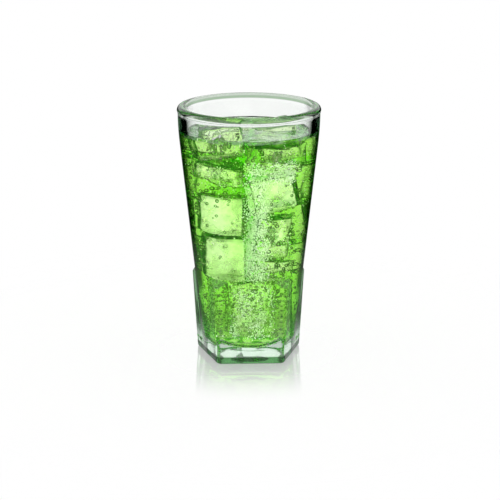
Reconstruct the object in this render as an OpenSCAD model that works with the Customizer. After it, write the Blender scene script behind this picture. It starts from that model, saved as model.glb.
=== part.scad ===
// Highball glass with a five-sided foot, filled with a clear drink and ice.
// Millimetres, +Z up. The origin is the middle of the foot, on the surface that the glass stands on,
// and one flat side of the foot faces -Y.

/* [Glass] */
// Height of the glass
glass_h = 150; // [140:1:165]
// Outer diameter of the rim
rim_d = 84; // [80:0.5:90]
// How far the rolled lip stands out from the wall
lip_proud = 0.45; // [0.2:0.05:1]
// Thickness of the wall
wall_t = 4.8; // [3.5:0.1:5.5]
// Thickness of the base
base_t = 8; // [6:0.5:12]
// Outer diameter of the round body where it runs into the foot
body_foot_d = 53.4; // [50:0.2:57]
// Height below the lip over which the slanted wall turns upright
neck_h = 19.4; // [10:0.2:30]
// Radius of the inside corner between the base and the wall
inner_round = 10; // [6:0.5:14]

/* [Foot] */
// Number of flat sides of the foot
foot_sides = 5; // [4:1:8]
// Distance from the axis to a sharp corner of the foot, on the floor
foot_corner_r = 33.1; // [31:0.1:36]
// How much further out the corners are at the top of their ridges
ridge_spread = 2.95; // [1:0.05:4]
// Height of the ridges that rise from the corners
ridge_h = 47; // [30:0.5:60]
// Height of the slope between a ridge and the round body
shoulder_h = 5.5; // [3:0.5:10]
// How far the corners are rounded back
corner_blunt = 0.9; // [0.4:0.1:1.5]
// Bevel around the bottom edge
foot_bevel = 1; // [0.5:0.1:1.5]
// Diameter of the hollow under the base
punt_d = 36; // [24:1:44]
// Depth of the hollow under the base
punt_depth = 1.2; // [0.5:0.1:2]

/* [Drink] */
// Height of the drink's surface above the floor
drink_level = 134.5; // [120:0.5:138]
// Clearance between the drink and the glass
drink_gap = 0.1; // [0.05:0.05:0.3]

/* [Ice] */
// How far the top of the front left stack stands above the drink
rise_front_left = 8; // [0:0.5:10]
// How far the top of the front right stack stands above the drink
rise_front_right = -2; // [-6:0.5:10]
// How far the top of the back left stack stands above the drink
rise_back_left = 3; // [-4:0.5:10]
// How far the top of the back right stack stands above the drink
rise_back_right = 4; // [-4:0.5:10]
// Height of the bottom piece of ice
ice_bottom_h = 34; // [24:1:40]
// Space between neighbouring pieces of ice
ice_gap = 1.5; // [1.4:0.1:4]
// Space between the ice and the glass
ice_wall_gap = 4.5; // [3:0.1:5.5]
// Open drink below the third piece of the front left stack
open_drink_h = 6; // [0:0.5:8]
// How far the corners of the ice have melted back
ice_worn = 2; // [1:0.1:3]
// Largest lean of a piece, in degrees
ice_lean = 11; // [0:0.5:13]
// Largest turn of a piece about the upright, in degrees
ice_turn = 16; // [0:0.5:20]
// Turn of the bottom piece about the upright, in degrees
ice_bottom_turn = 28; // [-45:1:45]
// Turn of the whole pile about the axis, in degrees
pile_turn = -6; // [-45:1:45]
// Clearance between the ice and the drink around it
ice_fit = 0.2; // [0.1:0.05:0.4]

/* [Hidden] */
$fn = 96;

rim_r = rim_d / 2;
lip_r = (wall_t + lip_proud) / 2;
body_top_z = glass_h - lip_r;
body_top_r = rim_r - lip_proud;
body_foot_r = body_foot_d / 2;
neck_z = body_top_z - neck_h;
// The wall leans by this much, and the neck takes half of its height to turn upright
slope = (body_top_r - body_foot_r) / (body_top_z - neck_h / 2);
wall_lean = atan(slope);
neck_steps = 8;
// Points of an outline stay at least this far apart in height
least_step = 0.1;
round_steps = 10;
lip_steps = 18;
// Angle on the lip's circle at which it meets the outside of the wall
lip_start = -acos(1 - lip_proud / lip_r);
lip_foot_z = body_top_z + lip_r * sin(lip_start);
// Middle of the inside corner's arc
round_z = base_t + inner_round;
round_r = inner_r(round_z - inner_round * sin(wall_lean)) - inner_round * cos(wall_lean);

half_side = 180 / foot_sides;
flat_r = foot_corner_r * cos(half_side);
flat_lean = atan(ridge_spread * cos(half_side) / ridge_h);
foot_top_z = ridge_h + shoulder_h;

// The bottom piece of ice stands this share of the inside corner's radius above the base
bottom_lift = 0.15;
// Its corners reach this share of the way to the wall
bottom_reach = 0.93;
// The outer corners of the other pieces would reach this share of that way, but have melted to the wall's curve
stack_reach = 1.29;
// Shares of the room that a full lean or turn would take upwards and sideways, since worn corners need less
rise_room = 0.65;
side_room = 0.55;
// A piece that leans or turns moves out from the axis by this share of the width that it gives up
outward_share = 0.1;
// Share of a piece's height below which its corners are worn away
worn_share = 0.15;

// Outside radius of the round body at a height
function body_r(z) =
    body_foot_r + slope * (z <= neck_z ? z : z - pow(z - neck_z, 2) / (2 * neck_h));

// Inside radius of the wall at a height
function inner_r(z) = body_r(z) - wall_t;

neck_heights = [for (k = [0 : neck_steps]) neck_z + neck_h * k / neck_steps];

// Inside outline, from the middle of the base to the wall at height top, drawn in by gap
function inner_outline(gap, top) = concat(
    [[0, base_t + gap]],
    [for (k = [0 : round_steps])
        let (a = -90 + (90 - wall_lean) * k / round_steps)
        [round_r + (inner_round - gap) * cos(a), round_z + (inner_round - gap) * sin(a)]],
    [for (z = neck_heights) if (z < top - least_step) [inner_r(z) - gap / cos(wall_lean), z]],
    [[inner_r(top) - gap / cos(wall_lean), top]]);

function reversed(list) = [for (k = [len(list) - 1 : -1 : 0]) list[k]];

// Outside outline of the round body, from its buried foot to the lip
outer_outline = concat(
    [[0, foot_bevel], [body_r(foot_bevel), foot_bevel]],
    [for (z = neck_heights) if (z < lip_foot_z - least_step) [body_r(z), z]]);

lip_outline = [for (k = [0 : lip_steps - 1])
    let (a = lip_start + (180 - lip_start) * k / lip_steps)
    [rim_r - lip_r + lip_r * cos(a), body_top_z + lip_r * sin(a)]];

// Everything inside one flat side, at this distance from the axis on the floor, leaning outwards
module inside_flat(turn, distance, lean) {
    reach = rim_d + glass_h;
    rotate([0, 0, turn])
        translate([distance, 0, 0])
            rotate([0, lean, 0])
                translate([-2 * reach, -reach, -reach])
                    cube(2 * reach);
}

// Five-sided foot: flat sides with blunt corners that end in sloped shoulders
module foot() {
    intersection() {
        rotate_extrude()
            polygon([
                [0, 0],
                [foot_corner_r - corner_blunt - foot_bevel, 0],
                [foot_corner_r - corner_blunt + ridge_spread * foot_bevel / ridge_h, foot_bevel],
                [foot_corner_r - corner_blunt + ridge_spread, ridge_h],
                [body_r(foot_top_z) - wall_t / 4, foot_top_z],
                [0, foot_top_z]]);
        intersection_for(k = [0 : foot_sides - 1]) {
            turn = -90 + 2 * half_side * k;
            intersection() {
                inside_flat(turn, flat_r, flat_lean);
                inside_flat(turn, flat_r - foot_bevel, 45);
            }
        }
    }
}

// Room inside the foot that stays clear of the ridges, ending halfway through the wall
module foot_core() {
    top = foot_top_z + wall_t;
    rotate_extrude()
        polygon([
            [0, base_t / 2],
            [body_r(base_t / 2) - wall_t / 2, base_t / 2],
            [body_r(top) - wall_t / 2, top],
            [0, top]]);
}

// Shallow round hollow under the base
module punt() {
    dome_r = (pow(punt_d / 2, 2) + pow(punt_depth, 2)) / (2 * punt_depth);
    translate([0, 0, punt_depth - dome_r])
        sphere(dome_r);
}

module tumbler() {
    color("lightcyan", 0.35)
        difference() {
            union() {
                rotate_extrude()
                    polygon(concat(outer_outline, lip_outline,
                        reversed(inner_outline(0, body_top_z))));
                difference() {
                    foot();
                    foot_core();
                }
            }
            punt();
        }
}

// One upright piece of ice lies at the bottom, and four stacks of four pieces stand on it.
// Seen from above, the stacks stand two by two: front left, front right, back left, back right.
stack_sides = [[-1, -1], [1, -1], [-1, 1], [1, 1]];
stack_rises = [rise_front_left, rise_front_right, rise_back_left, rise_back_right];
ice_floor_z = base_t + ice_wall_gap + inner_round * bottom_lift;
bottom_w = (inner_r(round_z) - ice_wall_gap) * bottom_reach * sqrt(2);
stack_z = ice_floor_z + ice_bottom_h + ice_gap;

// Share of its stack's height that each piece takes, from the bottom up
layer_shares = [[30, 26, 21, 23], [15, 28, 25, 20], [24, 27, 24, 20], [20, 26, 25, 21]];
stack_layers = len(layer_shares[0]);
// Stack and layer above the open drink
open_stack = 0;
open_layer = 2;

function total(list, count) = count == 0 ? 0 : list[count - 1] + total(list, count - 1);

// Height at which a layer begins
function layer_z(stack, layer) =
    stack_z + (drink_level + stack_rises[stack] + ice_gap - stack_z)
    * total(layer_shares[stack], layer) / total(layer_shares[stack], stack_layers);

// Share of the largest lean about X, of the largest lean about Y and of the largest turn, for each piece
ice_tilts = [
    [[0.2, -0.1, 0.2], [-0.2, 0.1, -0.2], [0.4, 0.5, 0.6], [-0.3, -1, 0.3]],
    [[-0.4, 0.6, -0.9], [0.3, 0.6, 1], [-0.3, -0.9, 0.4], [0.5, 0.4, -0.6]],
    [[0.2, 0.3, 0.3], [-0.3, -0.2, -0.2], [0.6, 0.5, 0.9], [-0.5, 0.6, 0.5]],
    [[-0.6, -0.4, -1], [0.5, -0.7, 0.8], [-0.2, 0.6, -0.4], [0.4, -0.8, 0.7]]];

function lean_x(stack, layer) = ice_lean * ice_tilts[stack][layer].x;
function lean_y(stack, layer) = ice_lean * ice_tilts[stack][layer].y;
function turn_z(stack, layer) = ice_turn * ice_tilts[stack][layer].z;

// Height and width of the room for a piece
function room_z(stack, layer) =
    layer_z(stack, layer) + (stack == open_stack && layer == open_layer ? open_drink_h : 0);
function room_h(stack, layer) = layer_z(stack, layer + 1) - room_z(stack, layer) - ice_gap;
function room_w(stack, layer) =
    (inner_r(room_z(stack, layer) + room_h(stack, layer) * worn_share) - ice_wall_gap)
    * stack_reach / sqrt(2) - ice_gap / 2;

// Share of its width or height by which a piece spreads sideways when it leans or turns
function lean_share(stack, layer) =
    side_room * max(sin(abs(lean_x(stack, layer))), sin(abs(lean_y(stack, layer))));
function lean_rise(stack, layer) =
    rise_room * (sin(abs(lean_x(stack, layer))) + sin(abs(lean_y(stack, layer))));
function turn_share(stack, layer) =
    cos(turn_z(stack, layer)) + side_room * sin(abs(turn_z(stack, layer)));

// Width and height of the piece, which leans and turns in that room
function ice_w(stack, layer) =
    (room_w(stack, layer) - room_h(stack, layer) * lean_share(stack, layer)) / turn_share(stack, layer);
function ice_h(stack, layer) =
    room_h(stack, layer) - ice_w(stack, layer) * lean_rise(stack, layer);

function ice_place(stack, layer) =
    let (given_up = room_w(stack, layer) - ice_w(stack, layer),
        side = (room_w(stack, layer) + ice_gap) / 2 + given_up * outward_share)
    [stack_sides[stack].x * side, stack_sides[stack].y * side,
        room_z(stack, layer) + room_h(stack, layer) / 2];

// Block of ice with its corners melted back, grown all round by extra
module ice_block(w, h, extra) {
    round_off = sqrt(w * w / 2 + h * h / 4) - ice_worn;
    intersection() {
        cube([w + 2 * extra, w + 2 * extra, h + 2 * extra], center = true);
        sphere(round_off + extra);
    }
}

// Everything that is further from the wall than the ice has to be, less extra
module ice_room(extra) {
    gap = (ice_wall_gap - extra) / cos(wall_lean);
    top_r = inner_r(body_top_z) - gap;
    rotate_extrude()
        polygon([
            [0, 0],
            [inner_r(0) - gap, 0],
            [inner_r(neck_z) - gap, neck_z],
            [top_r, body_top_z],
            [top_r, 2 * glass_h],
            [0, 2 * glass_h]]);
}

module bottom_ice(extra) {
    translate([0, 0, ice_floor_z + ice_bottom_h / 2])
        rotate([0, 0, ice_bottom_turn])
            ice_block(bottom_w, ice_bottom_h, extra);
}

module stack_ice(stack, layer, extra) {
    intersection() {
        rotate([0, 0, pile_turn])
            translate(ice_place(stack, layer))
                rotate([lean_x(stack, layer), lean_y(stack, layer), turn_z(stack, layer)])
                    ice_block(ice_w(stack, layer), ice_h(stack, layer), extra);
        ice_room(extra);
    }
}

module drink() {
    color("limegreen", 0.6)
        difference() {
            rotate_extrude()
                polygon(concat(inner_outline(drink_gap, drink_level), [[0, drink_level]]));
            bottom_ice(ice_fit);
            for (stack = [0 : 3], layer = [0 : stack_layers - 1])
                stack_ice(stack, layer, ice_fit);
        }
}

module ice_bottom() {
    color("honeydew", 0.7)
        bottom_ice(0);
}

module ice(stack, layer) {
    color("honeydew", 0.7)
        stack_ice(stack, layer, 0);
}

tumbler();
drink();
ice_bottom();
ice(0, 0);  // ice_front_left_1
ice(0, 1);  // ice_front_left_2
ice(0, 2);  // ice_front_left_3
ice(0, 3);  // ice_front_left_4
ice(1, 0);  // ice_front_right_1
ice(1, 1);  // ice_front_right_2
ice(1, 2);  // ice_front_right_3
ice(1, 3);  // ice_front_right_4
ice(2, 0);  // ice_back_left_1
ice(2, 1);  // ice_back_left_2
ice(2, 2);  // ice_back_left_3
ice(2, 3);  // ice_back_left_4
ice(3, 0);  // ice_back_right_1
ice(3, 1);  // ice_back_right_2
ice(3, 2);  // ice_back_right_3
ice(3, 3);  // ice_back_right_4
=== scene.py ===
# %% [markdown]
# # A highball glass of green fizz and ice
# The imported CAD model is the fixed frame: every piece below is made in metres, in the place where the frame
# says it is. The glass, the drink and each block of ice are made again with the shapes and finishes that
# the plain solids lack. The solids could be shown as they are, but their flat facets would break up
# everything that is seen through them.

# %% Load the frame
import math
import bmesh
import bpy
import numpy as np
from mathutils import Matrix, Vector


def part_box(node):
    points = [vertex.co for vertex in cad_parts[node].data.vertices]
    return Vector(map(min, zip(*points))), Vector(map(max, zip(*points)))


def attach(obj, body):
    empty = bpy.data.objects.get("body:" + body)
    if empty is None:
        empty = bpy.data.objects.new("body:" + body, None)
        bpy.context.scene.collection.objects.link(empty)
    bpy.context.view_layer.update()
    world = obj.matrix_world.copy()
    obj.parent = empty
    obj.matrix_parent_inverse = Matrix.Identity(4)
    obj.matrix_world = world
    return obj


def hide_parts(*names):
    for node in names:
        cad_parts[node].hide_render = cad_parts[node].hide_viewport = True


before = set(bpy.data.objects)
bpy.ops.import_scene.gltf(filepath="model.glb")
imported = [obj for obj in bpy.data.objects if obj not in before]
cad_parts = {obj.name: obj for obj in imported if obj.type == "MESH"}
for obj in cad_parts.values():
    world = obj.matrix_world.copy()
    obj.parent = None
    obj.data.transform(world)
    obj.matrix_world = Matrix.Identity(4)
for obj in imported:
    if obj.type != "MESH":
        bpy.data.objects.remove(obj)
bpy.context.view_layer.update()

MM = 0.001
TURN = 2 * math.pi
scene = bpy.context.scene
ice_nodes = sorted(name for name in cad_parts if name.startswith("ice_"))
print("loaded", len(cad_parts), "nodes, of which", len(ice_nodes), "are blocks of ice")

# %% [markdown]
# ## Node maths as formulas
# The round shapes, the bubbles and the tints below all follow rules, and Blender's nodes work such rules
# out. Geometry Nodes and shader nodes share one Math node. Its links could be set one by one, but wrapping
# its output in a small class lets a rule be written as a formula, which is far easier to read.

# %% A value that lives on a node
def plug(tree, slot, value):
    """Links a value to a node's input, or sets a plain number there."""
    if isinstance(value, Term):
        value = value.socket
    if isinstance(value, bpy.types.NodeSocket):
        tree.links.new(value, slot)
    else:
        slot.default_value = value


class Term:
    """A number on a node, with the usual signs of arithmetic."""

    def __init__(self, tree, socket):
        self.tree = tree
        self.socket = socket

    def math(self, operation, *others):
        """One Math node, with this value first."""
        node = self.tree.nodes.new("ShaderNodeMath")
        node.operation = operation
        for slot, value in zip(node.inputs, (self,) + others):
            plug(self.tree, slot, value)
        return Term(self.tree, node.outputs[0])

    def __add__(self, other):
        return self.math("ADD", other)

    def __sub__(self, other):
        return self.math("SUBTRACT", other)

    def __mul__(self, other):
        return self.math("MULTIPLY", other)

    def __truediv__(self, other):
        return self.math("DIVIDE", other)

    def __radd__(self, other):
        return self + other

    def __rmul__(self, other):
        return self * other

    def __rsub__(self, other):
        return self * -1.0 + other


PREFIXES = {"GEOMETRY": ("GeometryNode", "ShaderNode", "FunctionNode"), "SHADER": ("ShaderNode",)}


def add(tree, kind, inputs=None, **settings):
    """Adds a node by the short name of its kind, with its settings and its inputs by name or number."""
    prefix = next(start for start in PREFIXES[tree.type] if hasattr(bpy.types, start + kind))
    node = tree.nodes.new(prefix + kind)
    for name, value in settings.items():
        setattr(node, name, value)
    for name, value in (inputs or {}).items():
        slot = node.inputs[name]
        if isinstance(name, str):
            slot = next(s for s in node.inputs if s.name == name and s.enabled)
        plug(tree, slot, value)
    return node


def made(tree, kind, inputs=None, **settings):
    """The first output of a new node."""
    return add(tree, kind, inputs, **settings).outputs[0]


def parts_of(tree, value):
    """The three coordinates of a vector."""
    return [Term(tree, slot) for slot in add(tree, "SeparateXYZ", {0: value}).outputs]


# %% Trees with named inputs
SOCKETS = {float: "NodeSocketFloat", int: "NodeSocketInt", "vector": "NodeSocketVector",
           "object": "NodeSocketObject", "material": "NodeSocketMaterial", "geometry": "NodeSocketGeometry"}


def new_tree(title, **kinds):
    """Starts a Geometry Nodes tree. Returns it, its inputs by name and a function that ends it."""
    tree = bpy.data.node_groups.new(title, "GeometryNodeTree")
    tree.interface.new_socket("Mesh", in_out="INPUT", socket_type=SOCKETS["geometry"])
    for name, kind in kinds.items():
        tree.interface.new_socket(name, in_out="INPUT", socket_type=SOCKETS[kind])
    tree.interface.new_socket("Mesh", in_out="OUTPUT", socket_type=SOCKETS["geometry"])
    given = tree.nodes.new("NodeGroupInput")
    inputs = {slot.name: Term(tree, slot) for slot in given.outputs if slot.name}

    def finish_tree(mesh):
        """Realizes what the tree made, smooths it and gives it its material."""
        real = made(tree, "RealizeInstances", {0: mesh})
        smooth = made(tree, "SetShadeSmooth", {0: real})
        dressed = add(tree, "SetMaterial", {0: smooth, "Material": inputs["material"]})
        tree.links.new(dressed.outputs[0], tree.nodes.new("NodeGroupOutput").inputs[0])

    return tree, inputs, finish_tree


def keep_result(piece):
    """Keeps what the modifiers of a piece make as its plain mesh."""
    bpy.context.view_layer.update()
    graph = bpy.context.evaluated_depsgraph_get()
    mesh = bpy.data.meshes.new_from_object(piece.evaluated_get(graph), depsgraph=graph)
    piece.modifiers.clear()
    piece.data = mesh


def grow(tree, title, base=None, **values):
    """Runs a tree on a new object and keeps the result as the object's plain mesh."""
    piece = bpy.data.objects.new(title, base or bpy.data.meshes.new(title))
    scene.collection.objects.link(piece)
    maker = piece.modifiers.new("maker", "NODES")
    maker.node_group = tree
    for slot in tree.interface.items_tree:
        if slot.in_out == "INPUT" and slot.name in values:
            maker[slot.identifier] = values[slot.name]
    keep_result(piece)
    piece.data.name = title
    return piece


def triangles(piece):
    """How many triangles a piece's mesh has."""
    return sum(len(face.vertices) - 2 for face in piece.data.polygons)


print("helpers ready")

# %% [markdown]
# ## Clear materials
# Glass, drink and ice are all clear. They could be painted as pale, shiny surfaces, but then nothing behind
# them would show, so light has to run through them as it does in the real thing. Each is a Principled
# shader with full transmission and its own index of refraction. The colour of the drink comes from a volume
# that takes out red and blue along the way: where ice leaves little drink in the path it looks pale, and
# where the drink is deep it looks a strong green.

# %% A clear shader with a slightly uneven surface
UNTINTED = (1, 1, 1, 1)


def clear_material(title, ior, ripple_size, ripple_depth):
    """A clear finish whose surface waves a little, as pressed glass and melting ice do."""
    material = bpy.data.materials.new(title)
    material.use_nodes = True
    tree = material.node_tree
    shader = tree.nodes["Principled BSDF"]
    shader.inputs["Base Color"].default_value = UNTINTED
    shader.inputs["Transmission Weight"].default_value = 1.0
    shader.inputs["Roughness"].default_value = 0.0
    shader.inputs["IOR"].default_value = ior
    place = add(tree, "TexCoord").outputs["Object"]
    waves = add(tree, "TexNoise",
                {"Vector": place, "Scale": 1 / ripple_size, "Detail": 2.0, "Roughness": 0.4})
    bump = add(tree, "Bump", {"Strength": 1.0, "Distance": ripple_depth, "Height": waves.outputs[0]})
    tree.links.new(bump.outputs[0], shader.inputs["Normal"])
    return material, tree, shader


def take_out_colour(tree, density, left_over):
    """Adds a volume that absorbs all but what is left over of each colour."""
    volume = add(tree, "VolumeAbsorption", {"Color": (*left_over, 1), "Density": density})
    tree.links.new(volume.outputs[0], tree.nodes["Material Output"].inputs["Volume"])


# %% Soft steps, painted edge shade and milk
def ramp(tree, value, start, end):
    """0 below start and 1 above end, with a soft step between."""
    node = add(tree, "MapRange", {"Value": value, "From Min": start, "From Max": end},
               interpolation_type="SMOOTHSTEP")
    return Term(tree, node.outputs[0])


def mixed(tree, share, first, second):
    """A colour between two."""
    node = add(tree, "Mix", data_type="RGBA")
    slots = [s for s in node.inputs if s.enabled]
    for slot, value in zip(slots, (share, first, second)):
        plug(tree, slot, value)
    return next(s for s in node.outputs if s.enabled)


def paint_edge_shade(tree, shader, colour, start, end):
    """Paints a dark shade into a clear shader's colour where the surface is seen at a slant, as a bubble's
    edge looks.
    """
    slant = add(tree, "LayerWeight", {"Blend": 0.5}).outputs["Facing"]
    edged = mixed(tree, ramp(tree, slant, start, end), UNTINTED, (*colour, 1))
    tree.links.new(edged, shader.inputs["Base Color"])


def cloud_over(tree, shader, patch_size, start, end, cloudiness):
    """Makes a clear shader milky in patches, as ice with fine air in it is."""
    place = add(tree, "TexCoord").outputs["Object"]
    patches = add(tree, "TexNoise", {"Vector": place, "Scale": 1 / patch_size, "Detail": 4.0})
    milky = ramp(tree, patches.outputs[0], start, end) * cloudiness
    tree.links.new((1 - milky).socket, shader.inputs["Transmission Weight"])


print("clear shaders ready")

# %% [markdown]
# ## Painted light and shade on the edges of the glass
# The glass is clear, but it looks green at its lip and around its foot, where light runs a long way inside
# it, and almost black along its sides, where it is seen at a slant. A stronger volume would dull the whole
# wall. Here those places are found from the height, the distance to the axis and the slant, and only they
# get painted colour: green for painted light, and dark green or black for painted shade.

# %% Glass and the places on it
GLASS_IOR = 1.5
clear_glass, glass_tree, glass_shader = clear_material("clear_glass", GLASS_IOR, 14 * MM, 0.04 * MM)
take_out_colour(glass_tree, density=7.0, left_over=(0.4, 0.9, 0.5))
across, along, height = parts_of(glass_tree, add(glass_tree, "TexCoord").outputs["Object"])
from_axis = (across * across + along * along).math("SQRT")
slant = add(glass_tree, "LayerWeight", {"Blend": 0.5}).outputs["Facing"]
# Most painted tints meet only light that goes into the glass, so that the far side doesn't show through as
# green
going_in = 1 - Term(glass_tree, add(glass_tree, "NewGeometry").outputs["Backfacing"])


def above(value, start, end):
    """0 before a soft step on the glass and 1 after it, with the step in millimetres."""
    return ramp(glass_tree, value, start * MM, end * MM)


def below(value, start, end):
    """1 before a soft step on the glass and 0 after it."""
    return 1 - above(value, start, end)


def paint_over_glass(colour, new_colour, share, slants=None):
    """Lays a colour of painted light and shade over the glass by share, and with slants only where it is seen
    at a slant.
    """
    if slants:
        share = ramp(glass_tree, slant, *slants) * share
    return mixed(glass_tree, share, colour, new_colour)


print("glass:", clear_glass.name)

# %% Green lip, painted light and shade
# Painted light and shade: the lip is green, darker at a slant, paler inside, with a dark line at its inner
# edge
PAINTED_LIP_LIGHT = (0.48, 0.62, 0.44, 1)
PAINTED_LIP_SHADE = (0.03, 0.13, 0.04, 1)
PAINTED_INNER_LIP_LIGHT = (0.42, 0.52, 0.41, 1)
PAINTED_LIP_LINE_SHADE = (0.15, 0.26, 0.14, 1)
on_lip = above(height, 147.0, 147.8) * going_in
outer_lip = on_lip * above(from_axis, 39.5, 40.3)
inner_lip = on_lip * below(from_axis, 39.4, 40.3)
inner_line = above(height, 146.8, 147.6) * below(height, 148.4, 149.2) * below(from_axis, 38, 39) * going_in
painted_lip_colour = paint_over_glass(PAINTED_LIP_LIGHT, PAINTED_LIP_SHADE, 1.0, slants=(0.35, 0.75))
painted_glass_colour = paint_over_glass(UNTINTED, PAINTED_INNER_LIP_LIGHT, inner_lip)
painted_glass_colour = paint_over_glass(painted_glass_colour, painted_lip_colour, outer_lip)
painted_glass_colour = paint_over_glass(painted_glass_colour, PAINTED_LIP_LINE_SHADE, inner_line)
print("lip:", PAINTED_LIP_LIGHT[:3])

# %% Painted dark green shade on the foot and its ridges
# Painted shade: the foot's lower edge, its sides and its ridges turn dark green, darker where seen at a slant
PAINTED_FOOT_SHADE = (0.02, 0.12, 0.02, 1)
PAINTED_FOOT_DEEP_SHADE = (0.001, 0.02, 0.002, 1)
PAINTED_FOOT_SIDE_SHADE = (0.28, 0.55, 0.28, 1)
PAINTED_RIDGE_SHADE = (0.02, 0.04, 0.02, 1)
foot_edge = below(height, 4, 4.8) * above(from_axis, 24, 26) * going_in
foot_sides = above(height, 8, 14) * below(height, 46, 54)
painted_foot_colour = paint_over_glass(PAINTED_FOOT_SHADE, PAINTED_FOOT_DEEP_SHADE, 1.0, slants=(0.3, 0.6))
painted_glass_colour = paint_over_glass(painted_glass_colour, painted_foot_colour, foot_edge)
painted_glass_colour = paint_over_glass(painted_glass_colour, PAINTED_FOOT_SIDE_SHADE, foot_sides * going_in, slants=(0.45, 0.68))
painted_glass_colour = paint_over_glass(painted_glass_colour, PAINTED_RIDGE_SHADE, foot_sides, slants=(0.72, 0.92))
print("foot:", PAINTED_FOOT_SHADE[:3])

# %% Painted shade on the sides of the wall
WALL_SLOPE = 0.108
PAINTED_HEADSPACE_SHADE = (0.005, 0.012, 0.005, 1)
PAINTED_FILLED_SHADE = (0.01, 0.05, 0.015, 1)
# The wall leans, so the step from its inside to its outside is found with that slope taken off
outside = above(from_axis - height * WALL_SLOPE, 23.3, 25.3)
headspace = above(height, 133, 136) * below(height, 144, 147) * outside
filled = above(height, 44, 56) * below(height, 143, 146) * outside
# Painted shade where the wall is seen at a slant: near black above the drink and dark green beside it
painted_glass_colour = paint_over_glass(painted_glass_colour, PAINTED_HEADSPACE_SHADE, headspace, slants=(0.36, 0.56))
painted_glass_colour = paint_over_glass(painted_glass_colour, PAINTED_FILLED_SHADE, filled, slants=(0.46, 0.76))
glass_tree.links.new(painted_glass_colour, glass_shader.inputs["Base Color"])
print("glass has", len(glass_tree.nodes), "shader nodes")

# %% [markdown]
# ## Drink, bubbles and ice
# A little froth floats on the drink. It could be modelled bubble by bubble, but it is too fine for that, so
# the surface is only made milky in patches. A larger bubble is a hollow in the drink, so its skin bends
# light as the drink does, and its edge gets a painted dark shade. The fine beads are too small to show what
# they bend, so they are simply milky, with painted dark green shade at their rims. The ice is clear with
# painted dark green shade at its edges, and some of it is milky or cloudy.

# %% Drink
DRINK_IOR = 1.34
FROTH_STARTS = (134.0 * MM, 134.4 * MM)
FROTH_PATCH = 6 * MM
FROTH_STEP = (0.35, 0.65)
FROTH_SHARE = 0.35
FROTH_GREEN = (0.22, 0.52, 0.22, 1)
green_drink, drink_tree, drink_shader = clear_material("green_drink", DRINK_IOR, 9 * MM, 0.03 * MM)
take_out_colour(drink_tree, density=78.0, left_over=(0.61, 0.965, 0.08))
spot = add(drink_tree, "TexCoord").outputs["Object"]
drink_z = parts_of(drink_tree, spot)[2]
patches = add(drink_tree, "TexNoise", {"Vector": spot, "Scale": 1 / FROTH_PATCH, "Detail": 4.0})
froth = ramp(drink_tree, drink_z, *FROTH_STARTS) * ramp(drink_tree, patches.outputs[0], *FROTH_STEP)
froth = froth * FROTH_SHARE
drink_tree.links.new((1 - froth).socket, drink_shader.inputs["Transmission Weight"])
drink_colour = mixed(drink_tree, froth, UNTINTED, FROTH_GREEN)
drink_tree.links.new(drink_colour, drink_shader.inputs["Base Color"])
print("drink:", green_drink.name)

# %% Bubbles and beads
BEAD_CLEARNESS = 0.2
bubble_skin, bubble_tree, bubble_shader = clear_material("bubble_skin", DRINK_IOR, 9 * MM, 0.01 * MM)
# Bubbles and beads get a painted dark shade at their rims, where they are seen at a slant
paint_edge_shade(bubble_tree, bubble_shader, (0.0, 0.03, 0.0), 0.16, 0.36)
bead_skin, bead_tree, bead_shader = clear_material("bead_skin", 1.0, 9 * MM, 0.01 * MM)
paint_edge_shade(bead_tree, bead_shader, (0.1, 0.4, 0.1), 0.5, 0.9)
bead_shader.inputs["Transmission Weight"].default_value = BEAD_CLEARNESS
print("fizz:", bubble_skin.name, bead_skin.name)

# %% Ice
ICE_IOR = 1.31
ICE_RIPPLE = 3 * MM


def ice_material(title, ripple_depth, edge, start, end):
    """Clear ice with painted dark green shade at its edges, where it is seen at a slant."""
    material, tree, shader = clear_material(title, ICE_IOR, ICE_RIPPLE, ripple_depth)
    paint_edge_shade(tree, shader, edge, start, end)
    return material, tree, shader


# Every ice finish gets painted dark green shade at its edges where it is seen at a slant
wet_ice, edge_shaded_tree, edge_shaded_shader = ice_material("wet_ice", 0.05 * MM, (0.01, 0.12, 0.0), 0.4, 0.7)
pale_ice, pale_tree, pale_shader = ice_material("pale_ice", 0.05 * MM, (0.01, 0.12, 0.0), 0.4, 0.7)
cloud_over(pale_tree, pale_shader, patch_size=12 * MM, start=0.36, end=0.62, cloudiness=0.42)
cloudy_ice, cloudy_tree, cloudy_shader = ice_material("cloudy_ice", 0.08 * MM, (0.02, 0.2, 0.01), 0.45, 0.75)
cloud_over(cloudy_tree, cloudy_shader, patch_size=6 * MM, start=0.48, end=0.7, cloudiness=0.5)
# Drink and ice reflect almost nothing where they meet each other or the glass
for shader in (drink_shader, bubble_shader, bead_shader, edge_shaded_shader, pale_shader, cloudy_shader):
    shader.inputs["Specular IOR Level"].default_value = 0.0
    shader.inputs["Specular Tint"].default_value = (0, 0, 0, 1)
print("ice:", wet_ice.name, pale_ice.name, cloudy_ice.name)

# %% [markdown]
# ## Turned shapes with a five-sided foot
# A tumbler is pressed in a mould that was turned on a lathe and then milled flat on five sides at the foot.
# A round shape could be cut with five flat tools here too, but such cuts leave ragged meshes. So the tree
# below turns an outline around the axis, and pushes the points that belong to the foot out to the five
# flats. The outline is a small mesh whose X is the radius, whose Z is the height, and whose Y says how far
# a point follows the foot.

# %% The lathe
SEAM = 0.005 * MM
turned, given, finish_turned = new_tree(
    "turned_shape", outline="object", rows=int, columns=int, sides=int, crowding=float, body_r=float,
    slope=float, flat_r=float, flat_slope=float, corner_r=float, corner_slope=float, ridge_h=float,
    shoulder_slope=float, blend=float, material="material")


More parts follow.
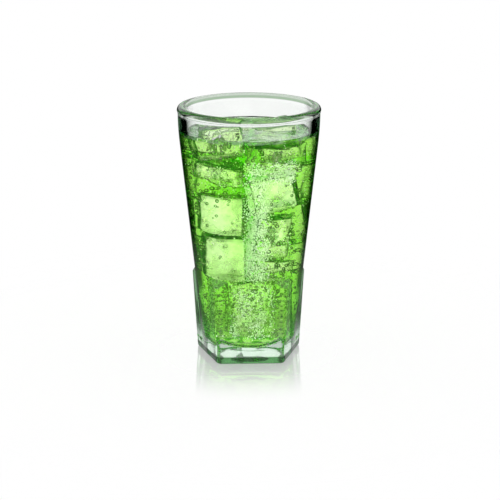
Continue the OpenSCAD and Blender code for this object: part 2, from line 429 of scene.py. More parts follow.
def build_lathe(tree, size, finish_tree):
    """Bends a grid of rows and columns into the turned shape."""
    grid = add(tree, "MeshGrid", {"Vertices X": size["columns"] + 1.0, "Vertices Y": size["rows"]})
    index = Term(tree, made(tree, "InputIndex"))
    row = index.math("MODULO", size["rows"])
    column = (index / size["rows"]).math("FLOOR")
    outline = add(tree, "ObjectInfo", {"Object": size["outline"]}).outputs["Geometry"]
    point = made(tree, "InputPosition")
    sample = add(tree, "SampleIndex", {"Geometry": outline, "Index": row},
                 data_type="FLOAT_VECTOR", domain="POINT")
    value_slot = next(s for s in sample.inputs if s.name == "Value" and s.enabled)
    tree.links.new(point, value_slot)
    sampled = next(s for s in sample.outputs if s.enabled)
    radius, share, height = parts_of(tree, sampled)

    # Columns crowd together at the corners of the foot, where the surface bends most
    half_side = (size["sides"] / math.pi).math("POWER", -1.0)
    even = column / size["columns"] * TURN
    from_corner = even + TURN / 4 - half_side
    angle = even - size["crowding"] / size["sides"] * (size["sides"] * from_corner).math("SINE")

    # Distance from the axis to the foot's flats, blunt corners and sloped shoulders
    from_flat = (angle + TURN / 4).math("WRAP", half_side, half_side * -1.0)
    flat = (size["flat_r"] + size["flat_slope"] * height) / from_flat.math("COSINE")
    corner = size["corner_r"] + size["corner_slope"] * height
    above_ridge = (height - size["ridge_h"]).math("MAXIMUM", 0.0)
    ridge = corner - size["shoulder_slope"] * above_ridge
    foot = flat.math("SMOOTH_MIN", ridge, size["blend"])
    body = size["body_r"] + size["slope"] * height
    proud = body.math("SMOOTH_MAX", foot, size["blend"]) - body

    reach = radius + share * proud
    place = add(tree, "CombineXYZ",
                {"X": reach * angle.math("COSINE"), "Y": reach * angle.math("SINE"), "Z": height})
    shaped = add(tree, "SetPosition", {0: grid.outputs["Mesh"], "Position": place.outputs[0]})
    closed = add(tree, "MergeByDistance", {0: shaped.outputs[0], "Distance": SEAM})
    finish_tree(closed.outputs[0])


build_lathe(turned, given, finish_turned)


def turn_shape(title, outline, material, columns, **foot):
    """Turns an outline of (radius, share, height) points around the axis into a closed mesh."""
    points = bpy.data.meshes.new(title + "_outline")
    points.from_pydata(outline, [], [])
    holder = bpy.data.objects.new(title + "_outline", points)
    scene.collection.objects.link(holder)
    piece = grow(turned, title, outline=holder, rows=len(outline), columns=columns, material=material, **foot)
    bpy.data.objects.remove(holder)
    face_outwards(piece)
    return piece


def face_outwards(piece):
    """Turns all faces of one closed shell outwards."""
    shell = bmesh.new()
    shell.from_mesh(piece.data)
    bmesh.ops.recalc_face_normals(shell, faces=shell.faces)
    if shell.calc_volume(signed=True) < 0:
        bmesh.ops.reverse_faces(shell, faces=shell.faces)
    shell.to_mesh(piece.data)
    shell.free()


print("lathe tree has", len(turned.nodes), "nodes")

# %% [markdown]
# ## The tumbler
# One pressed piece of glass: a thick base with a shallow hollow under it, a wall that leans out and turns
# upright below the lip, and a rolled lip. Its CAD mesh could be smoothed, but that would round off the
# ridges too, so it is turned afresh from the same sizes. The outline runs from the middle of the underside,
# up the outside, over the lip and down the inside to the middle of the base.

# %% Sizes of the tumbler
HEIGHT = 150 * MM
RIM_R = 42 * MM
LIP_PROUD = 0.45 * MM
WALL = 4.8 * MM
BASE = 8 * MM
BODY_FOOT_R = 26.7 * MM
NECK_H = 19.4 * MM
INNER_ROUND = 10 * MM
PUNT_R = 18 * MM
PUNT_DEPTH = 1.2 * MM
BEVEL = 1 * MM
FOOT_SIDES = 5
CORNER_R = 33.1 * MM
CORNER_BLUNT = 0.9 * MM
RIDGE_SPREAD = 2.95 * MM
RIDGE_H = 47 * MM
SHOULDER_H = 5.5 * MM
FOOT_BLEND = 1.2 * MM
CORNER_CROWDING = 0.6

LIP_R = (WALL + LIP_PROUD) / 2
BODY_TOP_Z = HEIGHT - LIP_R
NECK_Z = BODY_TOP_Z - NECK_H
SLOPE = (RIM_R - LIP_PROUD - BODY_FOOT_R) / (BODY_TOP_Z - NECK_H / 2)
WALL_LEAN = math.atan(SLOPE)
FLAT_R = CORNER_R * math.cos(math.pi / FOOT_SIDES)
FLAT_SLOPE = RIDGE_SPREAD * math.cos(math.pi / FOOT_SIDES) / RIDGE_H


def body_r(z):
    """Outside radius of the round body at a height."""
    bend = max(z - NECK_Z, 0)
    return BODY_FOOT_R + SLOPE * (z - bend * bend / (2 * NECK_H))


def inner_r(z):
    """Inside radius of the wall at a height."""
    return body_r(z) - WALL


print("outside radius of the wall at the neck:", round(body_r(NECK_Z), 5))

# %% Outlines of the tumbler's two sides
CORNER_STEPS = 14
FLOOR_STEPS = 6
PUNT_STEPS = 8
RING_STEPS = 5
BEVEL_STEPS = 5
LIP_STEPS = 24
FOOT_STEP = 2 * MM
SHOULDER_STEP = 0.5 * MM
NECK_STEP = 1.5 * MM
WALL_STEP = 4 * MM
INSIDE_STEP = 5 * MM
BELOW_SHOULDER = 3 * MM
ABOVE_SHOULDER = 4 * MM


def arc(middle_r, middle_z, radius, start, end, steps):
    """Points along an arc, as (radius, height)."""
    angles = [start + (end - start) * k / steps for k in range(steps + 1)]
    return [(middle_r + radius * math.cos(a), middle_z + radius * math.sin(a)) for a in angles]


def heights(start, end, step):
    """Heights from start to just before end, about one step apart."""
    count = max(1, round(abs(end - start) / step))
    return [start + (end - start) * k / count for k in range(count)]


def inside_outline(outwards):
    """Inside of the glass from the top of the corner's arc to the middle of the base, moved outwards."""
    middle_z = BASE + INNER_ROUND
    middle_r = inner_r(middle_z - INNER_ROUND * math.sin(WALL_LEAN)) - INNER_ROUND * math.cos(WALL_LEAN)
    corner = arc(middle_r, middle_z, INNER_ROUND + outwards, -WALL_LEAN, -TURN / 4, CORNER_STEPS)
    floor = [(middle_r * (1 - k / FLOOR_STEPS), BASE - outwards) for k in range(1, FLOOR_STEPS + 1)]
    return corner + floor


def tumbler_outline():
    """Whole outline of the tumbler, as (radius, share of the foot, height)."""
    dome_r = (PUNT_R ** 2 + PUNT_DEPTH ** 2) / (2 * PUNT_DEPTH)
    ring_end = BODY_FOOT_R - BEVEL
    points = []
    for k in range(PUNT_STEPS):
        r = PUNT_R * k / PUNT_STEPS
        points.append((r, 0, PUNT_DEPTH - dome_r + math.sqrt(dome_r ** 2 - r ** 2)))
    for k in range(RING_STEPS):
        points.append((PUNT_R + (ring_end - PUNT_R) * k / RING_STEPS, k / RING_STEPS, 0))
    points += [(r, 1, z) for r, z in arc(ring_end, BEVEL, BEVEL, -TURN / 4, 0, BEVEL_STEPS)]
    lip_start = -math.acos(1 - LIP_PROUD / LIP_R)
    lip_foot = BODY_TOP_Z + LIP_R * math.sin(lip_start)
    shoulder_low = RIDGE_H - BELOW_SHOULDER
    shoulder_high = RIDGE_H + SHOULDER_H + ABOVE_SHOULDER
    outside = heights(2 * BEVEL, shoulder_low, FOOT_STEP)
    outside += heights(shoulder_low, shoulder_high, SHOULDER_STEP)
    outside += heights(shoulder_high, NECK_Z, WALL_STEP)
    outside += heights(NECK_Z, lip_foot, NECK_STEP)
    points += [(body_r(z), 1, z) for z in outside]
    lip = arc(RIM_R - LIP_R, BODY_TOP_Z, LIP_R, lip_start, math.pi, LIP_STEPS)
    points += [(r, 0, z) for r, z in lip]
    corner_top = BASE + INNER_ROUND
    inside = heights(BODY_TOP_Z, NECK_Z, NECK_STEP)[1:] + heights(NECK_Z, corner_top, INSIDE_STEP)
    points += [(inner_r(z), 0, z) for z in inside]
    points += [(r, 0, z) for r, z in inside_outline(0)]
    return points


print("outline has", len(tumbler_outline()), "points")

# %% Turn the tumbler
TUMBLER_COLUMNS = 300
foot_top_r = body_r(RIDGE_H + SHOULDER_H) - WALL / 4
ridge_top_r = CORNER_R - CORNER_BLUNT + RIDGE_SPREAD
foot_sizes = {
    "sides": FOOT_SIDES, "crowding": CORNER_CROWDING, "body_r": BODY_FOOT_R, "slope": SLOPE,
    "flat_r": FLAT_R, "flat_slope": FLAT_SLOPE, "corner_r": CORNER_R - CORNER_BLUNT,
    "corner_slope": RIDGE_SPREAD / RIDGE_H, "ridge_h": RIDGE_H,
    "shoulder_slope": (ridge_top_r - foot_top_r) / SHOULDER_H, "blend": FOOT_BLEND,
}
tumbler = turn_shape("tumbler_glass", tumbler_outline(), clear_glass, columns=TUMBLER_COLUMNS, **foot_sizes)
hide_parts("tumbler")
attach(tumbler, "glass")
tumbler_top = max(v.co.z for v in tumbler.data.vertices)
print("tumbler:", triangles(tumbler), "triangles, height", round(tumbler_top, 5))

# %% [markdown]
# ## Blocks of ice
# Each block started as a cube and has melted: its edges are round, its faces wave, its outer corner follows
# the wall, and air is locked inside it as specks, frost and cracks. The blocks could be sculpted one by
# one, but they differ only in size, place and style, so one tree makes them all. The place, the lean and
# the size of a block are measured on its CAD solid, so that it stays where it was.

# %% Vectors, random values and the wall beside a point
def vector(tree, operation, *inputs):
    """One Vector Math node."""
    node = add(tree, "VectorMath", operation=operation)
    for slot, value in zip([s for s in node.inputs if s.enabled], inputs):
        plug(tree, slot, value)
    return next(s for s in node.outputs if s.enabled)


def scaled(tree, value, factor):
    """A vector times a number."""
    return made(tree, "VectorMath", {0: value, "Scale": factor}, operation="SCALE")


def random_number(tree, low, high, seed):
    """A random number between two."""
    node = add(tree, "RandomValue", {2: low, 3: high, "Seed": seed}, data_type="FLOAT")
    return Term(tree, node.outputs[1])


def random_vector(tree, low, high, seed):
    """A random vector between two."""
    return made(tree, "RandomValue", {0: low, 1: high, "Seed": seed}, data_type="FLOAT_VECTOR")


def wall_at(tree, point):
    """A point's three coordinates, its distance from the axis and the inside radius of the wall beside it."""
    x, y, z = parts_of(tree, point)
    bend = (z - NECK_Z).math("MAXIMUM", 0.0)
    wall = SLOPE * (z - bend * bend / (2 * NECK_H)) + (BODY_FOOT_R - WALL)
    return x, y, z, (x * x + y * y).math("SQRT"), wall


print("inside radius at the top of the wall:", round(inner_r(BODY_TOP_Z), 5))

# %% The melted shell of a block
WAVE_MIDDLE = 0.58
WAVE_MOST = 0.2 * MM
WALL_BLEND = 1.5 * MM
LEAST_R = 0.1 * MM


def in_place(tree, size, spot):
    """Puts a point of a block where the block lies in the glass."""
    turned_spot = made(tree, "VectorRotate", {"Vector": spot, "Rotation": size["turn"]},
                       rotation_type="EULER_XYZ")
    return vector(tree, "ADD", turned_spot, size["place"])


def block_core(tree, size):
    """Half the size of a block without its round edges."""
    melt = made(tree, "CombineXYZ", {0: size["melt"], 1: size["melt"], 2: size["melt"]})
    return vector(tree, "SUBTRACT", scaled(tree, size["size"], 0.5), melt)


def melted_shell(tree, size):
    """A cube with round edges and wavy faces, whose outer corner has melted back to the wall's curve."""
    sides = size["divisions"]
    cube = add(tree, "MeshCube",
               {"Size": size["size"], "Vertices X": sides, "Vertices Y": sides, "Vertices Z": sides})
    point = made(tree, "InputPosition")
    core = block_core(tree, size)
    inner = vector(tree, "MAXIMUM", vector(tree, "MINIMUM", point, core), scaled(tree, core, -1.0))
    outwards = vector(tree, "NORMALIZE", vector(tree, "SUBTRACT", point, inner))
    noise = add(tree, "TexNoise",
                {"Vector": point, "W": size["seed"], "Scale": size["wave_size"].math("POWER", -1.0),
                 "Detail": 2.0, "Roughness": 0.45}, noise_dimensions="4D")
    wave = ((Term(tree, noise.outputs[0]) - WAVE_MIDDLE) * size["wave"]).math("MINIMUM", WAVE_MOST)
    rounded = vector(tree, "ADD", inner, scaled(tree, outwards, size["melt"] + wave - size["inset"]))
    x, y, z, from_axis, wall = wall_at(tree, in_place(tree, size, rounded))
    kept = from_axis.math("SMOOTH_MIN", wall - size["wall_gap"] - size["inset"] + wave, WALL_BLEND)
    drawn_in = kept / from_axis.math("MAXIMUM", LEAST_R)
    melted = made(tree, "CombineXYZ", {0: x * drawn_in, 1: y * drawn_in, 2: z})
    return made(tree, "SetPosition", {0: cube.outputs["Mesh"], "Position": melted})


# %% [markdown]
# ## Air in the ice
# Water that freezes fast locks air in: fine specks near the middle of a block, frost under its faces and
# thin cracks across it. A cloudy finish alone could stand in for all of that, but in clear ice the eye sees
# single specks and the glint of a crack. So specks and grains are tiny balls, and cracks are thin wavy
# lenses, all of them hollows inside the block.

# %% Specks of air and frost
# Each random value has a seed of its own, some steps from the seed of the block
SPECK_PULL = (0.2, 0.85)
SPECK_R = (0.08 * MM, 0.3 * MM)
FROST_PATCH = 9 * MM
FROST_STEP = (0.5, 0.68)
GRAIN_R = (0.12 * MM, 0.42 * MM)
GRAIN_DEPTH = (-1.6 * MM, -0.6 * MM)


def air_specks(tree, size, speck):
    """Specks of air, most of them near the middle of a block."""
    cloud = made(tree, "Points", {"Count": size["specks"]})
    spread = random_vector(tree, (-1, -1, -1), (1, 1, 1), size["seed"])
    pull = random_number(tree, *SPECK_PULL, size["seed"] + 7.0)
    spot = scaled(tree, vector(tree, "MULTIPLY", spread, block_core(tree, size)), pull)
    cloud = made(tree, "SetPosition", {0: cloud, "Position": in_place(tree, size, spot)})
    point = made(tree, "InputPosition")
    x, y, z, from_axis, wall = wall_at(tree, point)
    outside = (wall - size["wall_gap"] - from_axis).math("LESS_THAN", WALL_BLEND)
    cloud = add(tree, "DeleteGeometry", {0: cloud, "Selection": outside}, domain="POINT")
    speck_r = random_number(tree, *SPECK_R, size["seed"] + 3.0)
    specks = add(tree, "InstanceOnPoints",
                 {"Points": cloud.outputs[0], "Instance": speck, "Scale": speck_r})
    return specks.outputs[0]


def frost_under(tree, size, shell, speck):
    """Patches of grains just under the faces of a block."""
    point = made(tree, "InputPosition")
    patches = add(tree, "TexNoise", {"Vector": point, "W": size["seed"], "Scale": 1 / FROST_PATCH},
                  noise_dimensions="4D")
    share = add(tree, "MapRange",
                {"Value": patches.outputs[0], "From Min": FROST_STEP[0], "From Max": FROST_STEP[1]})
    density = size["frost"] * Term(tree, share.outputs[0])
    scatter = add(tree, "DistributePointsOnFaces",
                  {"Mesh": shell, "Density": density, "Seed": size["seed"]})
    grain_r = random_number(tree, *GRAIN_R, size["seed"] + 5.0)
    depth = random_number(tree, *GRAIN_DEPTH, size["seed"] + 6.0)
    sunk = add(tree, "SetPosition",
               {0: scatter.outputs["Points"], "Offset": scaled(tree, scatter.outputs["Normal"], depth)})
    grains = add(tree, "InstanceOnPoints", {"Points": sunk.outputs[0], "Instance": speck, "Scale": grain_r})
    return grains.outputs[0]


# %% Cracks
CRACK_SPREAD = 0.3
CRACK_WIDTH = 0.7
CRACK_THICKNESS = 0.03
CRACK_RIPPLE = 2.5 * MM
CRACK_BEND = 2.4 * MM


def wavy_cracks(tree, size):
    """Thin wavy lenses of air, turned at random."""
    middles = made(tree, "Points", {"Count": size["cracks"]})
    farthest = Vector((CRACK_SPREAD, CRACK_SPREAD, CRACK_SPREAD))
    away = random_vector(tree, -farthest, farthest, size["seed"] + 11.0)
    spot = in_place(tree, size, vector(tree, "MULTIPLY", away, block_core(tree, size)))
    middles = made(tree, "SetPosition", {0: middles, "Position": spot})
    lens = made(tree, "MeshUVSphere", {"Segments": 24, "Rings": 10, "Radius": 1.0})
    length = size["crack_r"]
    flat = made(tree, "CombineXYZ", {0: length, 1: length * CRACK_WIDTH, 2: length * CRACK_THICKNESS})
    tilt = random_vector(tree, (0, 0, 0), (TURN, TURN, TURN), size["seed"] + 12.0)
    cracks = made(tree, "InstanceOnPoints",
                  {"Points": middles, "Instance": lens, "Rotation": tilt, "Scale": flat})
    cracks = made(tree, "RealizeInstances", {0: cracks})
    point = made(tree, "InputPosition")
    ripple = add(tree, "TexNoise", {"Vector": point, "Scale": 1 / CRACK_RIPPLE, "Detail": 2.0})
    bend = vector(tree, "SUBTRACT", ripple.outputs["Color"], (0.5, 0.5, 0.5))
    cracks = add(tree, "SetPosition", {0: cracks, "Offset": scaled(tree, bend, CRACK_BEND)})
    return cracks.outputs[0]


# %% The block tree
blocks, given, finish_blocks = new_tree(
    "ice_block", size="vector", place="vector", turn="vector", wall_gap=float, melt=float, wave=float,
    wave_size=float, seed=int, divisions=int, inset=float, specks=int, frost=float, cracks=int, crack_r=float,
    material="material")


def build_blocks(tree, size, finish_tree):
    """Joins the shell of a block and the air inside it."""
    shell = melted_shell(tree, size)
    speck = made(tree, "MeshIcoSphere", {"Radius": 1.0, "Subdivisions": 1})
    specks = air_specks(tree, size, speck)
    grains = frost_under(tree, size, shell, speck)
    cracks = wavy_cracks(tree, size)

    # Air inside the ice is a hollow, so its faces point into the air
    air = add(tree, "JoinGeometry")
    for part in (specks, grains, cracks):
        tree.links.new(part, air.inputs[0])
    air = made(tree, "RealizeInstances", {0: air.outputs[0]})
    air = made(tree, "FlipFaces", {0: air})
    both = add(tree, "JoinGeometry")
    tree.links.new(shell, both.inputs[0])
    tree.links.new(air, both.inputs[0])
    finish_tree(both.outputs[0])


build_blocks(blocks, given, finish_blocks)
print("block tree has", len(blocks.nodes), "nodes")

# %% [markdown]
# ## Each block in its place
# No two blocks froze alike: some are clear, some cloudy and some full of cracks. Their places could be
# typed in again from the CAD model, but then the two could drift apart. So each block is measured on its
# solid, from its largest flat faces, and only its style is listed. Each block is grown twice: as
# ice, and a hair smaller as its pocket in the drink.

# %% Measure a block on its CAD solid
NEARLY_SQUARE = 0.1


def block_of(node):
    """Matrix and size of a block of ice, from the flat faces of its CAD mesh."""
    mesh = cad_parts[node].data
    faces = sorted(mesh.polygons, key=lambda face: -face.area)
    first = faces[0].normal.copy()
    second = next(face.normal.copy() for face in faces if abs(face.normal.dot(first)) < NEARLY_SQUARE)
    axes = [first, second, first.cross(second)]
    up = max(axes, key=lambda axis: abs(axis.z))
    up = up * math.copysign(1, up.z)
    side = max((axis for axis in axes if abs(axis.dot(up)) < 0.5), key=lambda axis: abs(axis.x))
    side = side * math.copysign(1, side.x)
    turn = Matrix((side, up.cross(side), up)).transposed()
    corners = np.array([turn.transposed() @ v.co for v in mesh.vertices])
    low, high = corners.min(0), corners.max(0)
    middle = turn @ Vector((low + high) / 2)
    return Matrix.Translation(middle) @ turn.to_4x4(), Vector(high - low)


print("first block measures", [round(length, 4) for length in block_of(ice_nodes[0])[1]])

# %% Styles of ice
# How a block has frozen: the wave of its faces, the frost under them, its cracks and its specks of air
CLEAR = {"wave": 1.6 * MM, "frost": 15000.0, "cracks": 0, "specks": 25, "material": pale_ice}
CLOUDY = {"wave": 7 * MM, "frost": 900000.0, "cracks": 2, "specks": 160, "material": cloudy_ice}
CRACKED = {"wave": 4 * MM, "frost": 250000.0, "cracks": 6, "specks": 120, "material": cloudy_ice}
FERNY = {**CRACKED, "material": wet_ice}
PLAIN = {"wave": 3 * MM, "frost": 200000.0, "cracks": 0, "specks": 120, "material": wet_ice}
STYLES = {
    "ice_bottom": CLOUDY, "ice_front_left_1": CLEAR, "ice_front_left_2": CLEAR, "ice_front_left_3": CLOUDY,
    "ice_front_left_4": FERNY, "ice_front_right_2": CRACKED, "ice_front_right_3": CLEAR,
    "ice_front_right_4": FERNY, "ice_back_left_1": CLEAR, "ice_back_left_2": CLEAR,
}
print(len(STYLES), "blocks have a style of their own, and the others are plain")

# %% Make the blocks
ICE_MELT = 1.2 * MM
ICE_FULL = 0.6 * MM
ICE_WAVE_SIZE = 9 * MM
ICE_DIVISIONS = 18
ICE_CRACK_R = 5 * MM
ICE_WALL_GAP = 4.3 * MM
POCKET_INSET = 0.1 * MM
ice_pieces = {}
pockets = {}
for number, node in enumerate(ice_nodes):
    matrix, size = block_of(node)
    size = size + Vector((ICE_FULL, ICE_FULL, ICE_FULL))
    style = STYLES.get(node, PLAIN)
    shape = {"size": size, "place": matrix.to_translation(), "turn": Vector(matrix.to_euler()),
             "wall_gap": ICE_WALL_GAP, "melt": ICE_MELT, "wave": style["wave"], "wave_size": ICE_WAVE_SIZE,
             "seed": number, "divisions": ICE_DIVISIONS}
    air = {name: style[name] for name in ("specks", "frost", "cracks")}
    block = grow(blocks, node + "_block", crack_r=ICE_CRACK_R, inset=0.0, material=style["material"],
                 **air, **shape)
    pocket = grow(blocks, node + "_pocket", specks=0, frost=0.0, cracks=0, inset=POCKET_INSET,
                  material=green_drink, **shape)
    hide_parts(node)
    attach(block, node)
    ice_pieces[node] = block
    pockets[node] = pocket
ice_triangles = sum(triangles(block) for block in ice_pieces.values())
print("ice:", ice_triangles, "triangles in", len(ice_pieces), "blocks")

# %% [markdown]
# ## The drink
# The drink fills the inside of the glass and creeps up the wall a little at its edge. It could reach
# exactly to the glass, but two faces in one place confuse a renderer, and a film of air between them would
# shine like a mirror. So its skin lies a hair inside the glass, where light goes straight from one into the
# other, and the ice has its pocket in the drink in the same way. Blocks under the surface leave closed
# hollows in the drink, and blocks that stand out of it are cut out of its surface.

# %% Turn the drink with a curved edge along the wall
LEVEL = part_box("drink")[1].z
SKIN = 0.1 * MM
CREEP = 1.6 * MM
CREEP_LENGTH = 1.4 * MM
DRINK_STEP = 3 * MM
DRINK_COLUMNS = 120
SURFACE_STEPS = 40
SURFACE_CROWDING = 1.6


def drink_outline():
    """Outline of the drink from the middle of its surface, down the wall and to the middle of the base."""
    corner_top = BASE + INNER_ROUND
    wall = [(inner_r(z) + SKIN, z) for z in heights(LEVEL + CREEP, corner_top, DRINK_STEP)]
    top_r = inner_r(LEVEL + CREEP)
    surface = []
    for k in range(SURFACE_STEPS):
        gone = (k / SURFACE_STEPS) ** SURFACE_CROWDING * top_r
        surface.append((top_r - gone, LEVEL + CREEP * math.exp(-gone / CREEP_LENGTH)))
    outline = [(0, LEVEL)] + surface[::-1] + wall + inside_outline(SKIN)
    return [(r, 0, z) for r, z in outline]


drink = turn_shape("drink_body", drink_outline(), green_drink, columns=DRINK_COLUMNS, **foot_sizes)
print("drink:", triangles(drink), "triangles before the ice is cut out")

# %% Cut out the ice
def cut_out(piece, tool):
    """Takes the tool's shape out of a piece."""
    cutter = piece.modifiers.new("cut", "BOOLEAN")
    cutter.operation = "DIFFERENCE"
    cutter.solver = "EXACT"
    cutter.object = tool
    keep_result(piece)


def join_hollows(piece, hollows):
    """Adds closed hollows to a piece, with their faces turned into the hollow and their own materials."""
    whole = bmesh.new()
    whole.from_mesh(piece.data)
    for hollow in hollows:
        material = next(slot for slot in hollow.data.materials if slot)
        if material.name not in piece.data.materials:
            piece.data.materials.append(material)
        inner = bmesh.new()
        inner.from_mesh(hollow.data)
        bmesh.ops.reverse_faces(inner, faces=inner.faces)
        for face in inner.faces:
            face.material_index = piece.data.materials.find(material.name)
        flipped = bpy.data.meshes.new("flipped")
        inner.to_mesh(flipped)
        inner.free()
        whole.from_mesh(flipped)
        bpy.data.meshes.remove(flipped)
    for face in whole.faces:
        face.smooth = True
    whole.to_mesh(piece.data)
    whole.free()


standing_out = [node for node in ice_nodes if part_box(node)[1].z > LEVEL]
for node in standing_out:
    cut_out(drink, pockets[node])
sunk = [pockets[node] for node in ice_nodes if node not in standing_out]
join_hollows(drink, sunk)
print("drink:", triangles(drink), "triangles with", len(standing_out), "blocks cut out of its surface")

# %% [markdown]
# ## Fizz
# Bubbles cling to the ice and to the wall. They could be painted on as a texture, but a real bubble bends
# what lies behind it. A large one is a hollow in the drink, so it belongs to the drink's own mesh, and the
# fine beads are five layers of their own. The tree scatters points on a surface, sets each bubble a radius
# or more off it, and drops those that would touch another block, the wall or the surface of the drink.

# %% The bubble tree
SOFT_EDGE = 4 * MM
SMALL_ONES = 1.6
OFF_SURFACE = 1.1
ELBOW_ROOM = 1.05
fizz, given, finish_fizz = new_tree(
    "fizz", ice="object", density=float, clump_size=float, clump_from=float, clump_to=float, seed=int,
    smallest=float, largest=float, side=float, depth=float, level=float, bottom=float, segments=int,
    rings=int, low="vector", high="vector", material="material")


def fizz_share(tree, size, place):
    """Where bubbles gather: in clumps, and inside a box with soft edges."""
    clumps = add(tree, "TexNoise",
                 {"Vector": place, "Scale": size["clump_size"].math("POWER", -1.0), "Detail": 1.0})
    share = add(tree, "MapRange",
                {"Value": clumps.outputs[0], "From Min": size["clump_from"], "From Max": size["clump_to"]})
    share = Term(tree, share.outputs[0])
    limits = [parts_of(tree, value) for value in (place, size["low"], size["high"])]
    for spot, low, high in zip(*limits):
        share = share * ramp(tree, spot, low, low + SOFT_EDGE)
        share = share * (1 - ramp(tree, spot, high - SOFT_EDGE, high))
    return share


def build_fizz(tree, size, finish_tree):
    """Scatters bubbles on a surface and keeps those that have room."""
    place = made(tree, "InputPosition")
    density = size["density"] * fizz_share(tree, size, place)
    scatter = add(tree, "DistributePointsOnFaces",
                  {"Mesh": size["Mesh"], "Density": density, "Seed": size["seed"]})
    chance = random_number(tree, 0.0, 1.0, size["seed"] + 1.0)
    radius = size["smallest"] + (size["largest"] - size["smallest"]) * chance.math("POWER", SMALL_ONES)
    sized = add(tree, "StoreNamedAttribute",
                {"Geometry": scatter.outputs["Points"], "Name": "bubble_r", "Value": radius},
                data_type="FLOAT", domain="POINT")
    kept_r = add(tree, "InputNamedAttribute", {"Name": "bubble_r"}, data_type="FLOAT")
    kept_r = Term(tree, next(s for s in kept_r.outputs if s.enabled))
    afloat = random_number(tree, 0.0, size["depth"], size["seed"] + 2.0)
    off = scaled(tree, scatter.outputs["Normal"], (kept_r * OFF_SURFACE + afloat) * size["side"])
    moved = made(tree, "SetPosition", {0: sized.outputs[0], "Offset": off})

    # A bubble stays only where there is room for it
    ice = add(tree, "ObjectInfo", {"Object": size["ice"]}).outputs["Geometry"]
    near = add(tree, "Proximity", {0: ice}, target_element="FACES")
    gap = Term(tree, next(s for s in near.outputs if s.name == "Distance"))
    x, y, z, from_axis, wall = wall_at(tree, place)
    to_level = (size["level"] - z).math("MINIMUM", z - size["bottom"])
    room = gap.math("MINIMUM", wall - from_axis).math("MINIMUM", to_level)
    tight = room.math("LESS_THAN", kept_r * ELBOW_ROOM)
    free = made(tree, "DeleteGeometry", {0: moved, "Selection": tight}, domain="POINT")
    ball = made(tree, "MeshUVSphere", {"Segments": size["segments"], "Rings": size["rings"], "Radius": 1.0})
    balls = add(tree, "InstanceOnPoints", {"Points": free, "Instance": ball, "Scale": kept_r})
    finish_tree(balls.outputs[0])


build_fizz(fizz, given, finish_fizz)
print("fizz tree has", len(fizz.nodes), "nodes")

# %% Surfaces and sizes of the fizz
def joined(title, pieces):
    """One object with the meshes of several."""
    whole = bmesh.new()
    for piece in pieces:
        whole.from_mesh(piece.data)
    mesh = bpy.data.meshes.new(title)
    whole.to_mesh(mesh)
    whole.free()
    result = bpy.data.objects.new(title, mesh)
    scene.collection.objects.link(result)
    return result


room = {"level": LEVEL - SKIN, "bottom": BASE + INNER_ROUND / 2}
big = {"smallest": 0.5 * MM, "largest": 1.35 * MM, "segments": 8, "rings": 5, "material": bubble_skin}
small = {"smallest": 0.3 * MM, "largest": 0.9 * MM, "segments": 6, "rings": 4, "material": bubble_skin}
fine = {"smallest": 0.15 * MM, "largest": 0.4 * MM, "segments": 5, "rings": 3, "material": bead_skin}
all_ice = joined("all_ice", pockets.values())
on_ice = {"base": all_ice.data.copy(), "ice": all_ice, "side": 1.0, **room}
on_wall = {"base": drink.data.copy(), "ice": all_ice, "side": -1.0, **room}
print("ice to cling to:", triangles(all_ice), "triangles")

# %% [markdown]
# ## Bubbles
# Larger bubbles sit on the ice and on the wall, and a swarm of smaller ones hangs in the foot. They could
# be balls of a pale material, but a real bubble is a hole in the drink. So they are joined to the drink's
# mesh with their faces turned into the hole, as the pockets of the ice are.

# %% Bubbles on the ice and the wall
# A layer keeps to a box, from its low to its high corner
anywhere = {"low": Vector((-1, -1, -1)), "high": Vector((1, 1, 1))}
low_front = {"low": Vector((-40, -40, 6)) * MM, "high": Vector((40, 4, 52)) * MM}
hollows = [
    grow(fizz, "rings_on_ice", density=36000.0, clump_size=14 * MM, clump_from=0.3, clump_to=0.6, seed=4,
         depth=0.0, **on_ice, **big, **anywhere),
    grow(fizz, "rings_on_wall", density=8000.0, clump_size=16 * MM, clump_from=0.35, clump_to=0.6, seed=12,
         depth=0.0, **on_wall, **big, **anywhere),
    grow(fizz, "rings_in_foot", density=260000.0, clump_size=12 * MM, clump_from=0.35, clump_to=0.6, seed=20,
         depth=4 * MM, **on_wall, **small, **low_front),
]
on_wall["base"] = drink.data.copy()
for layer in hollows:
    print(layer.name, triangles(layer), "triangles")
join_hollows(drink, hollows)
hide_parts("drink")
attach(drink, "glass")
print("drink:", triangles(drink), "triangles with its bubbles")

# %% [markdown]
# ## Fine beads
# The finest gas hangs in the drink as white beads: on the ice, near the wall, at the bottom, and in a
# column in front that spreads near the top. A mist in the drink's volume would be quicker to make, but it
# would look like milk, while single beads sparkle. There are thousands of them, so each is a ball with few
# faces.

